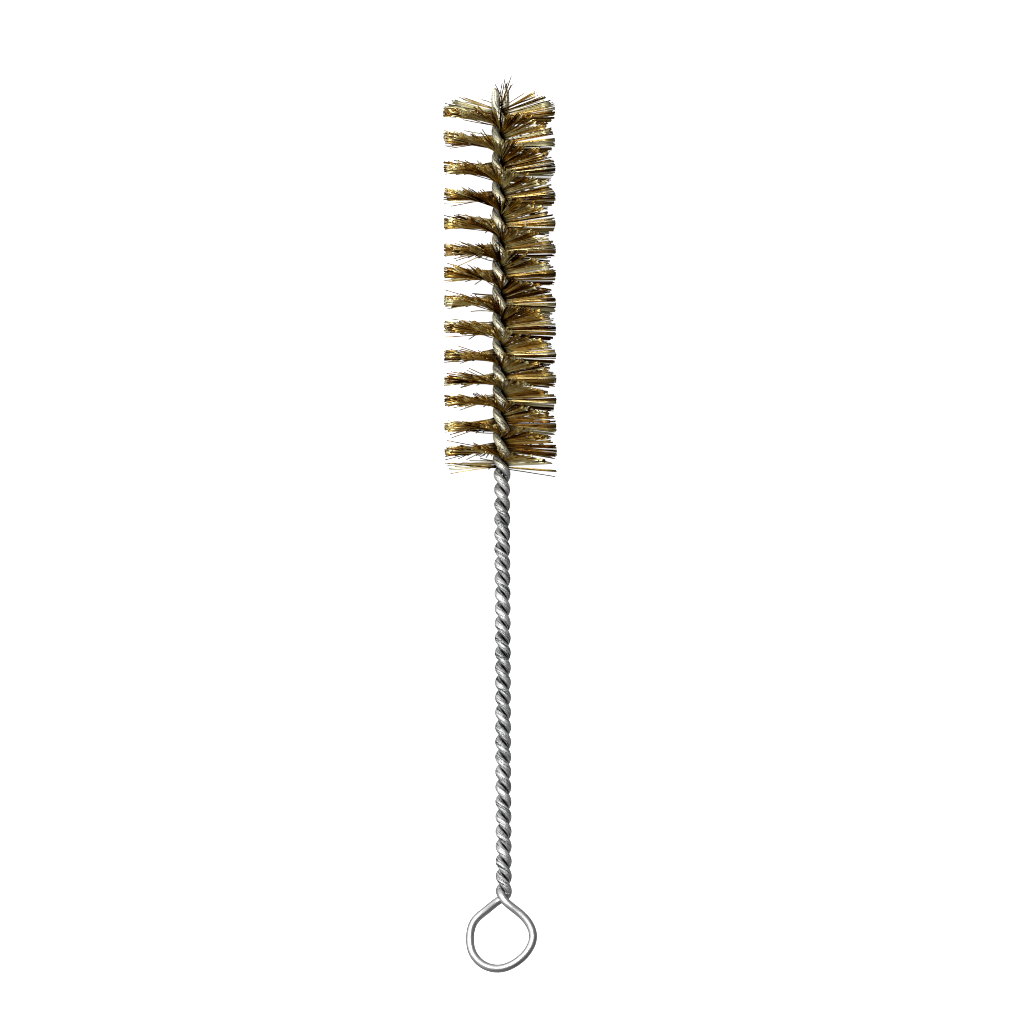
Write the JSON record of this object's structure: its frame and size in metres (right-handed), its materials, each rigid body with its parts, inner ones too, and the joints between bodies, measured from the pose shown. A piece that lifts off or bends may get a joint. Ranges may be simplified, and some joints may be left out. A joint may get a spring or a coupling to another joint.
{
  "type": "twisted wire tube brush",
  "caption": "Cylindrical tube brush: brass bristles gripped in a twisted steel wire stem whose bent end forms a hanging eye.",
  "frame": {"origin": "on the stem's axis, in the middle of the hanging eye, level with the eye's widest point", "axes": "+Y along the stem from the eye to the tip; the eye lies flat in the XY plane and +Z is its normal, up as the brush lies on a bench"},
  "size_m": [0.038, 0.2998, 0.038],
  "materials": {
    "steel_wire": "satin",
    "brass_bristle": "satin"
  },
  "bodies": {
    "root": {"hanging_eye": "steel_wire", "stem_wire_a": "steel_wire", "stem_wire_b": "steel_wire", "core_wire_a": "steel_wire", "core_wire_b": "steel_wire", "bristle_tuft_01": "brass_bristle", "bristle_tuft_02": "brass_bristle", "bristle_tuft_03": "brass_bristle", "bristle_tuft_04": "brass_bristle", "bristle_tuft_05": "brass_bristle", "bristle_tuft_06": "brass_bristle", "bristle_tuft_07": "brass_bristle", "bristle_tuft_08": "brass_bristle", "bristle_tuft_09": "brass_bristle", "bristle_tuft_10": "brass_bristle", "bristle_tuft_11": "brass_bristle", "bristle_tuft_12": "brass_bristle", "bristle_tuft_13": "brass_bristle", "bristle_tuft_14": "brass_bristle", "bristle_tuft_15": "brass_bristle", "tip_filaments": "brass_bristle"}
  },
  "joints": []
}
